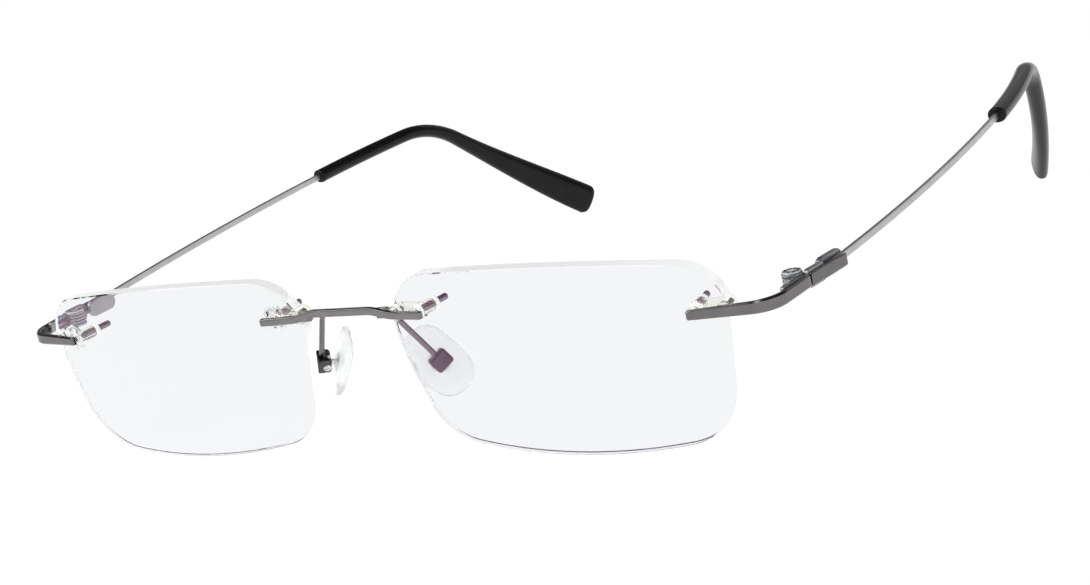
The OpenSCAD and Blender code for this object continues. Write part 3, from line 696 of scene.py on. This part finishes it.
def bridge_shape():
    soft = 0.22
    tip_x = BAR_END_X - soft
    xs = [tip_x * i / 60 for i in range(-60, 61)]
    for k in range(1, 9):
        x = tip_x + soft * sin(pi / 2 * k / 8)
        xs = [-x] + xs + [x]
    path, shapes = [], []
    for x in xs:
        a, knee_w = abs(x), 1.2
        y = BAR_BACK_Y - BRIDGE_D / 2 + tan(NOSE_TURN) * soft_knee(a, KNEE_X, knee_w)
        path.append(Vector((x, y, BAR_Z + BRIDGE_RISE * rise_share(a))))
        over = max(0.0, (a - tip_x) / soft)
        thin = 2 * soft * (1 - sqrt(max(0.0, 1 - over * over)))
        shapes.append(round_rect(BRIDGE_D - thin, BRIDGE_H - thin, 0.24, 2))
    s = loft(sections(path, shapes))
    for side in (1, -1):
        flip = Matrix.Diagonal((side, 1, 1, 1))
        for x, end in ((0, POST_L), (NOSE_NOTCH, NOTCH_POST_L)):
            s.join(post(flip @ NOSE_MOUNT @ move(x, 0, 0), end))
    return s


make("bridge_bar", bridge_shape(), 1, BRIDGE_METAL, "front", ["bridge"], 32)


# ---------------------------------------------------------------- endpieces
END_FRAME = move(MID_X, BAR_MID_Y, side_at.z) @ turn(END_TILT, "X")


def endpiece_shape():
    pts = []
    for i in range(13):
        d = BAR_START + (BAR_L - BAR_START) * i / 12
        pts.append(Vector((d * cos(SIDE_TURN), d * sin(SIDE_TURN), 0)))
    corner = Vector((BAR_L * cos(SIDE_TURN), BAR_L * sin(SIDE_TURN), 0))
    for i in range(1, 25):
        a = SIDE_TURN + (HEADING - SIDE_TURN) * i / 24
        pts.append(corner + BEND_R * Vector((sin(a) - sin(SIDE_TURN), cos(SIDE_TURN) - cos(a), 0)))
    end = pts[-1]
    for i in range(1, 7):
        d = BACK_L * i / 6
        pts.append(end + Vector((d * cos(HEADING), d * sin(HEADING), 0)))
    path = [END_FRAME @ p for p in pts]

    def size(f):
        """Lower at its inner end, full height from a little over half way."""
        return END_T, END_H * (0.74 + 0.26 * min(1.0, f / 0.55))

    s = bar(path, size, 0.24, 1)
    for x, end in ((0, POST_L), (SIDE_NOTCH, NOTCH_POST_L)):
        s.join(post(SIDE_MOUNT @ move(x, 0, 0), end))
    return s


# ---------------------------------------------------------------- sleeves
def sleeve_shape(place, notch):
    """Two tubes that grip the posts and the flange that joins them behind the lens, with a ring round
    the long tube's end; and how many of the faces aren't the ring's."""
    tube, flange, bore = HOLE_R - 0.03, HOLE_R + 0.2, POST_R + 0.03
    start, seat, back = 0.05, LENS_T + 0.15, LENS_T + 0.85

    def tube_at(x, end):
        prof = [(0.001, start), (tube - 0.08, start), (tube, start + 0.08), (tube, end - 0.2),
                (tube - 0.06, end - 0.06), (tube - 0.2, end), (0.001, end)]
        return lathe(prof, move(x, 0, 0), 36)

    ends = []
    for x, a0 in ((max(0, notch), -pi / 2), (min(0, notch), pi / 2)):
        for i in range(37):
            a = a0 + pi * i / 36
            ends.append((x + flange * cos(a), flange * sin(a)))
    joined = plate(ends, back - seat, 0.16, move(0, back, 0) @ turn(pi / 2, "X"), 4)
    joined = combine(joined, tube_at(0, LENS_T + 2.9), "UNION")
    joined = combine(joined, tube_at(notch, LENS_T + 0.95), "UNION")
    for x in (0, notch):
        joined = combine(joined, lathe([(bore, -1), (bore, 7)], move(x, 0, 0), 36), "DIFFERENCE")
    ring, ring_end = LENS_T + 2.92, LENS_T + 3.6
    collar = lathe([(bore, ring), (tube - 0.1, ring), (tube, ring + 0.13), (tube, ring_end - 0.15),
                    (tube - 0.12, ring_end), (bore, ring_end)], Matrix.Identity(4), 36, close=True)
    return Shape().join(joined, place).join(collar, place), len(joined.faces)


# ---------------------------------------------------------------- nose pads and their boxes
def pad_arm_shape():
    """A wire from a lug behind the bridge down to the pad's box."""
    run = (ARM_FOOT - ARM_KNEE).normalized()
    pts = [Vector((7.0, 0.75, BAR_Z)), Vector((7.0, 2.2, BAR_Z + 0.02)), Vector((7.02, 3.3, BAR_Z - 0.12)),
           ARM_KNEE + Vector((0.02, -0.06, -0.1))]
    pts += [ARM_KNEE + run * k for k in (1.0, 2.2, 3.6, 5.0, 6.4)] + [ARM_FOOT]
    s = wire(catmull(pts, 8), ARM_R, 20)
    lug = [Vector((7.1, 0.3 + 0.18 * i, BAR_Z + 0.3)) for i in range(7)]
    s.join(bar(lug, lambda f: (2.3 - 0.6 * f, 1.7 - 0.3 * f), 0.22))
    return s


def pad_box_shape():
    """A rounded block with a slot from behind for the pad's tongue."""
    low, high, slot_to = Vector((-1.6, -1.25)), Vector((0.7, 1.35)), -1.0
    size, mid = high - low, (high + low) / 2
    outline = [(x + mid.x, y + mid.y) for x, y in round_rect(size.x, size.y, 0.5, 6)]
    block = plate(outline, 2 * BOX_HALF, 0.45, move(-BOX_HALF, 0, 0) @ UPRIGHT, 5)
    slot = plate([(slot_to, -2), (2, -2), (2, 2), (slot_to, 2)], 2 * SLOT_HALF, 0.01,
                 move(-SLOT_HALF, 0, 0) @ UPRIGHT)
    return Shape().join(combine(block, slot, "DIFFERENCE"), BOX_FRAME)


def pad_screw_shape():
    """A domed head towards -y with a cut slot, on a plain shank."""
    r, t, shank, length = 0.62, 0.3, 0.39, 2 * BOX_HALF + 0.3
    head = lathe([(0.001, 0.02), (r * 0.5, 0.03), (r * 0.85, 0.08), (r, 0.18), (r, t), (shank, t),
                  (shank, length - 0.06), (shank - 0.06, length), (0.001, length)], Matrix.Identity(4))
    slot = loft([[(x, 0.16, 0.1), (x, 0.16, -0.1), (x, -0.16, -0.1), (x, -0.16, 0.1)] for x in (-1, 1)])
    place = BOX_FRAME @ move(-BOX_HALF - 0.24, 0, 0) @ turn(-pi / 2, "Z")
    return Shape().join(combine(head, slot, "DIFFERENCE"), place)


def pad_outline():
    top_r, low_r = PAD_W * 0.42, PAD_W * 0.47
    corners = [(x * (PAD_W / 2 - r), z * (PAD_H / 2 - r), r)
               for x, z, r in ((-1, 1, top_r), (1, 1, top_r), (1, -1, low_r), (-1, -1, low_r))]
    return bowed(corners, [12, 30, 12, 30], 14, 6)


def nose_pad_shape():
    """A pillow: gently domed where it rests on the nose, flatter behind."""
    line = pad_outline()
    shares = [(0.02, -0.82), (0.3, -0.82), (0.55, -0.8), (0.74, -0.74), (0.87, -0.6), (0.95, -0.36),
              (0.99, -0.12), (1.0, 0.1), (0.985, 0.34), (0.94, 0.58), (0.85, 0.78), (0.7, 0.9),
              (0.5, 0.97), (0.28, 1.0), (0.02, 1.0)]
    rings = [[(x * k, PAD_T / 2 * y, z * k) for x, z in line] for k, y in shares]
    return Shape().join(loft(rings), PAD_FRAME)


def pad_insert_shape():
    """An eye round the pad's screw, a tongue and a plate inside the pad."""
    eye = [(0.45, -0.6), (0.8, -0.6), (0.85, -0.55), (0.85, 0.55), (0.8, 0.6), (0.45, 0.6)]
    s = lathe(eye, SCREW_FRAME @ turn(-pi / 2, "Z"), 32, close=True)
    tongue = [SCREW_FRAME @ Vector((0, 0.6 + 0.28 * i, 0.1 * (i / 6) ** 2)) for i in range(7)]
    s.join(bar(tongue, lambda f: (1.15, 0.75 - 0.15 * f), 0.16))
    place = PAD_FRAME @ move(0.15, 0.1, -0.2) @ turn(pi / 2, "X")
    s.join(plate(oval(1.9, 3.4, 2.5, 40), 0.35, 0.12, place))
    return s


# ---------------------------------------------------------------- hinges
def barrel(layer, arm_from, arm_to, plate_x):
    """One of the five hinge knuckles, counted from below, with the arm that joins it to its plate."""
    low = (layer - 2) * PITCH - BARREL_H / 2
    hole, r, h = PIN_R + 0.03, BARREL_R, BARREL_H
    prof = [(hole, 0.02), (r - 0.05, 0.02), (r, 0.07), (r, h - 0.07), (r - 0.05, h - 0.02), (hole, h - 0.02)]
    s = lathe(prof, HINGE_PIN @ move(0, 0, low) @ turn(pi / 2, "X"), 40, close=True)
    arm_x, arm_y = 0.7 - PIN_IN, (arm_from + arm_to) / 2
    path = [HINGE_FRAME @ Vector((arm_x + (plate_x - arm_x) * i / 4, arm_y, low + h / 2)) for i in range(5)]
    return s.join(bar(path, lambda f: (arm_to - arm_from, h - 0.04), 0.06, 2))


def hinge_base_shape():
    """The plate on the endpiece's inner face with three knuckles."""
    plate_in = -END_T / 2 - PLATE_T
    length, height, end = 5.35, 1.7, -0.25
    pts = [(x + end - length / 2, y) for x, y in round_rect(length, height, 0.3, 5)]
    s = plate(pts, PLATE_T - 0.01, 0.1, HINGE_FRAME @ move(plate_in, 0, 0) @ UPRIGHT)
    for layer in (0, 2, 4):
        s.join(barrel(layer, -3.2, 0.1, plate_in + 0.2))
    return s


def leaf_shape():
    """The plate on the block's inner face with two knuckles."""
    leaf_in = -END_T / 2 - PLATE_T + 0.1
    height, end = 2.6, 4.6
    pts = [(x + (BLOCK_GAP + end) / 2, y) for x, y in round_rect(end - BLOCK_GAP, height, 0.5, 5)]
    s = plate(pts, SKIN_IN - 0.01 - leaf_in, 0.08, HINGE_FRAME @ move(leaf_in, 0, 0) @ UPRIGHT)
    for layer in (1, 3):
        s.join(barrel(layer, 0.4, 2.9, leaf_in + 0.2))
    return s


PIN_HEAD_R, DIMPLES, DIMPLE_R, DIMPLE_RING = 1.35, 8, 0.27, 0.96


def hinge_screw_shape():
    """A flat head with a ring of small holes, on a plain pin; made upright round z."""
    r, low, top, foot = PIN_HEAD_R, BARRELS_TOP + 0.02, HEAD_TOP, BARRELS_TOP + 0.15
    pin = lathe([(0.001, -top), (r - 0.07, -top), (r, -top + 0.06), (r, -low), (PIN_R, -low),
                 (PIN_R, foot - 0.07), (PIN_R - 0.07, foot), (0.001, foot)], turn(-pi / 2, "X"), 48)

    def cutter(radius, depth, n):
        prof = [(0.001, top - depth), (radius, top - depth), (radius, top + 0.2), (0.001, top + 0.2)]
        return lathe(prof, turn(pi / 2, "X"), n)

    holes = Shape()
    for i in range(DIMPLES):
        holes.join(cutter(DIMPLE_R, 0.18, 16), turn(2 * pi * i / DIMPLES, "Z") @ move(DIMPLE_RING, 0, 0))
    holes.join(cutter(0.36, 0.12, 24))
    return Shape().join(combine(pin, holes, "DIFFERENCE"), HINGE_PIN)


def paint_hole_shade(obj, side):
    """Gives the walls and floors of the small holes in the pin's head a near-black material: painted shade
    in the recesses.
    """
    obj.data.materials.append(HOLE_SHADE)
    to_pin = HINGE_PIN.inverted()
    for face in obj.data.polygons:
        c = face.center / MM
        c = to_pin @ Vector((side * c.x, c.y + MIDDLE_Y, c.z))
        in_ring = abs(sqrt(c.x ** 2 + c.y ** 2) - DIMPLE_RING) < DIMPLE_R + 0.05
        if in_ring and -0.22 < c.z - HEAD_TOP < -0.03:
            face.material_index = 1


def block_shape():
    """The outer block behind the hinge, a little lower towards its back end."""
    x0, x1, height = SKIN_IN, END_T / 2, 1.9
    path = [HINGE_FRAME @ Vector(((x0 + x1) / 2, BLOCK_GAP + BLOCK_L * i / 8, 0)) for i in range(9)]
    return bar(path, lambda f: (x1 - x0, height - 0.12 * max(0.0, f - 0.6) / 0.4), 0.18, 1)


def clamp_shape():
    """The lug with round ends that holds the strip from inside."""
    h, t = 2.9, 0.9
    y0, y1 = STRIP_Y, BLOCK_GAP + BLOCK_L + 1.4
    inner = STRIP_OUT - STRIP_T - 0.25
    pts = [(x + (y0 + y1) / 2, y) for x, y in round_rect(y1 - y0, h, h * 0.46, 8)]
    place = HINGE_FRAME @ move(inner - t, 0, 0) @ UPRIGHT
    return plate(pts, t, 0.28, place, 5)


# ---------------------------------------------------------------- strips and ear tips
def strip_shape():
    """The bowed spring strip and its core inside the ear tip."""
    pivot = move(0, strip_from.y, HINGE_Z) @ turn(STRIP_RISE, "X")
    path, n = [], 60
    for i in range(n + 1):
        a = -FLARE + 2 * FLARE * i / n
        p = strip_centre + STRIP_R * Vector((cos(a), sin(a)))
        path.append(pivot @ Vector((p.x, p.y - strip_from.y, 0)))
    step = (path[-1] - path[-2]).normalized()
    for i in range(1, 5):
        path.append(path[n] + step * 0.7 * i)
    return bar(path, lambda f: (STRIP_T, STRIP_H), 0.17, 5)


def tip_line(d):
    """The ear tip's middle line at a distance d from its mouth."""
    if d < SLOPE_L:
        y, z = MOUTH_Y + d * cos(STRIP_RISE), MOUTH_Z + d * sin(STRIP_RISE)
    elif d < SLOPE_L + BEND_L:
        t = -STRIP_RISE + (d - SLOPE_L) / EAR_R
        y, z = ear_centre.x + EAR_R * sin(t), ear_centre.y + EAR_R * cos(t)
    else:
        e = d - SLOPE_L - BEND_L
        y, z = drop_start.x + e * cos(TIP_DROP), drop_start.y - e * sin(TIP_DROP)
    x = tip_centre.x + sqrt(TIP_R ** 2 - (y - tip_centre.y) ** 2)
    return Vector((x, y, z))


def end_loss(left, r):
    """How much narrower a shape is at a distance left from its end, which is rounded with radius r."""
    return 2 * (r - sqrt(max(0.0, r ** 2 - (r - left) ** 2))) if left < r else 0.0


def tip_size(d):
    """Width, height and superellipse power of the ear tip at a distance d from its mouth."""
    widen_from = SLOPE_L + BEND_L * 0.4
    e = max(0.0, (d - widen_from) / (TIP_L - widen_from))
    e = e * e * (3 - 2 * e)
    w = TIP_T - 0.25 * e - end_loss(TIP_L - d, 0.8)
    h = TIP_H + (PADDLE_W - 0.1 - TIP_H) * e ** 1.1 - end_loss(TIP_L - d, 1.35)
    return max(w, 0.08), max(h, 0.08), 2.1 + 0.15 * e


def tip_shape():
    """The ear tip from inside its mouth, round the rim and on to its flat rounded end."""
    n, k = 90, 32
    path, shapes = [], []
    for d in (0.9, 0.02):
        path.append(tip_line(d))
        shapes.append(oval(STRIP_T + 0.16, STRIP_H + 0.16, 5, k))
    rim = 0.3
    w, h, q = tip_size(0.0)
    for i in range(5):
        a = pi / 2 * i / 4
        e = rim * (1 - sin(a))
        path.append(tip_line(rim * (1 - cos(a))))
        shapes.append(oval(w - 2 * e, h - 2 * e, q, k))
    n_mouth = len(path) + 1
    marks = [TIP_L * i / n for i in range(1, n) if TIP_L * i / n < TIP_L - 1.5]
    marks += [TIP_L - 1.4 * (1 - sin(pi / 2 * i / 16)) for i in range(17)]
    for d in marks:
        w, h, q = tip_size(d)
        path.append(tip_line(d))
        shapes.append(oval(w, h, q, k))
    rings = sections(path, shapes)
    mouth = [tip_line(0.0), tip_line(2.0)]
    for i in range(n_mouth):
        offset = path[i] - mouth[0]
        rings[i] = sections([p + offset for p in mouth], [shapes[i]] * 2)[0]
    return loft(rings)


# ---------------------------------------------------------------- pieces of each side
for part, place, notch in (("sleeve_nose", NOSE_MOUNT, NOSE_NOTCH), ("sleeve_side", SIDE_MOUNT, SIDE_NOTCH)):
    shape, n_clear = sleeve_shape(place, notch)
    for name, side in SIDES:
        obj = make(part + "_look_" + name, shape, side, SLEEVE, "front",
                   [part + "_" + name], 30)
        obj.data.materials.append(COLLAR)
        for face in obj.data.polygons[n_clear:]:
            face.material_index = 1

shapes = {
    "endpiece": (endpiece_shape(), END_METAL, "gunmetal", 30),
    "pad_arm": (pad_arm_shape(), GUNMETAL, "gunmetal", 40),
    "pad_box": (pad_box_shape(), BOX, "gunmetal", 30),
    "pad_screw": (pad_screw_shape(), SCREW, "steel", 30),
    "nose_pad": (nose_pad_shape(), PAD, "pad_silicone", 60),
    "pad_insert": (pad_insert_shape(), SCREW, "steel", 30),
    "hinge_base": (hinge_base_shape(), KNUCKLE, "gunmetal", 30),
    "hinge_screw": (hinge_screw_shape(), HEAD, "steel", 30),
    "temple_leaf": (leaf_shape(), KNUCKLE, "gunmetal", 30),
    "temple_block": (block_shape(), BLOCK_METAL, "gunmetal", 30),
    "temple_clamp": (clamp_shape(), KNUCKLE, "gunmetal", 40),
    "temple_strip": (strip_shape(), STRIP, "steel", 40),
    "temple_tip": (tip_shape(), TIP, "black_plastic", 50),
}
for part, (shape, material, slot, crease) in shapes.items():
    for name, side in SIDES:
        if part.startswith("temple"):
            body = "temple_" + name
        elif part in ("nose_pad", "pad_insert"):
            body = "pad_" + name
        else:
            body = "front"
        obj = make(part + "_look_" + name, shape, side, material, body,
                   [part + "_" + name], crease)
        # paints shade into the small holes of the pin's head
        if part == "hinge_screw":
            paint_hole_shade(obj, side)


# ---------------------------------------------------------------- stage, lights, camera
FLOOR_HALF, FLOOR_DOWN = 3.0, 0.0001
FLOOR_GLOW = 0.985
# place, size and power of each lamp; all aim at the glasses
LAMPS = {
    "key": ((-0.45, -0.55, 0.6), (0.8, 0.8), 5),
    "fill": ((0.8, -0.35, 0.4), (0.7, 0.6), 2),
    "rear": ((0.15, 0.9, 0.5), (1.2, 0.5), 0.8),
    "top": ((0.1, -0.3, 1.0), (0.14, 0.14), 0.25),
}
LAMP_AIM = Vector((0, 0, 0.01))
CAMERA_AT, CAMERA_TURN, CAMERA_LENS = Vector((206.799, -320.067, 96.153)), (76.3133, 11.6909, 31.8808), 75.57
WHITE = (1, 1, 1)


def stage_floor():
    mesh = bpy.data.meshes.new("floor")
    s = FLOOR_HALF
    mesh.from_pydata([(-s, -s, 0), (s, -s, 0), (s, s, 0), (-s, s, 0)], [], [(0, 1, 2, 3)])
    obj = bpy.data.objects.new("floor", mesh)
    bpy.context.scene.collection.objects.link(obj)
    obj.location.z = cad_box[0].z - FLOOR_DOWN
    m, nt, p, _ = new_material("floor_white")
    greys = [(0.3, (0.085, 0.085, 0.085)), (0.7, (0.09, 0.09, 0.09))]
    nt.links.new(ramp(nt, noise(nt, 30.0), greys), p.inputs["Base Color"])
    p.inputs["Roughness"].default_value = 0.9
    p.inputs["Specular IOR Level"].default_value = 0.0
    p.inputs["Emission Color"].default_value = (*WHITE, 1)
    p.inputs["Emission Strength"].default_value = FLOOR_GLOW
    mesh.materials.append(m)


def lamp(name, at, size, power):
    light = bpy.data.lights.new(name, "AREA")
    light.shape = "RECTANGLE"
    light.size, light.size_y = size
    light.energy = power
    obj = bpy.data.objects.new(name, light)
    bpy.context.scene.collection.objects.link(obj)
    obj.location = at
    obj.rotation_euler = (LAMP_AIM - Vector(at)).to_track_quat("-Z", "Y").to_euler()


def studio_sky():
    """White round the horizon and dark above, but plain white to the camera."""
    world = bpy.data.worlds.new("studio")
    bpy.context.scene.world = world
    world.use_nodes = True
    nt = world.node_tree
    nt.nodes.clear()
    out = nt.nodes.new("ShaderNodeOutputWorld")
    background = nt.nodes.new("ShaderNodeBackground")
    coords = nt.nodes.new("ShaderNodeTexCoord")
    parts = nt.nodes.new("ShaderNodeSeparateXYZ")
    nt.links.new(coords.outputs["Generated"], parts.inputs[0])
    sky = ramp(nt, parts.outputs["Z"], [(0.0, WHITE), (0.08, WHITE), (0.2, (0.12, 0.12, 0.125)),
                                        (1.0, (0.04, 0.04, 0.045))])
    path = nt.nodes.new("ShaderNodeLightPath")
    mix = nt.nodes.new("ShaderNodeMix")
    mix.data_type = "RGBA"
    colour_a, colour_b, colour_out = 6, 7, 2
    mix.inputs[colour_b].default_value = (*WHITE, 1)
    nt.links.new(path.outputs["Is Camera Ray"], mix.inputs[0])
    nt.links.new(sky, mix.inputs[colour_a])
    nt.links.new(mix.outputs[colour_out], background.inputs[0])
    background.inputs[1].default_value = 1.0
    nt.links.new(background.outputs[0], out.inputs[0])


def add_camera():
    cam = bpy.data.cameras.new("camera")
    cam.sensor_width = 36.0
    cam.lens = CAMERA_LENS
    cam.clip_start = 0.01
    obj = bpy.data.objects.new("camera", cam)
    bpy.context.scene.collection.objects.link(obj)
    turned = Euler([radians(a) for a in CAMERA_TURN])
    obj.matrix_world = Matrix.LocRotScale(CAMERA_AT * MM, turned, None)
    bpy.context.scene.camera = obj


stage_floor()
for name, (at, size, power) in LAMPS.items():
    lamp(name, at, size, power)
studio_sky()
add_camera()
bpy.context.scene.view_settings.view_transform = "Standard"
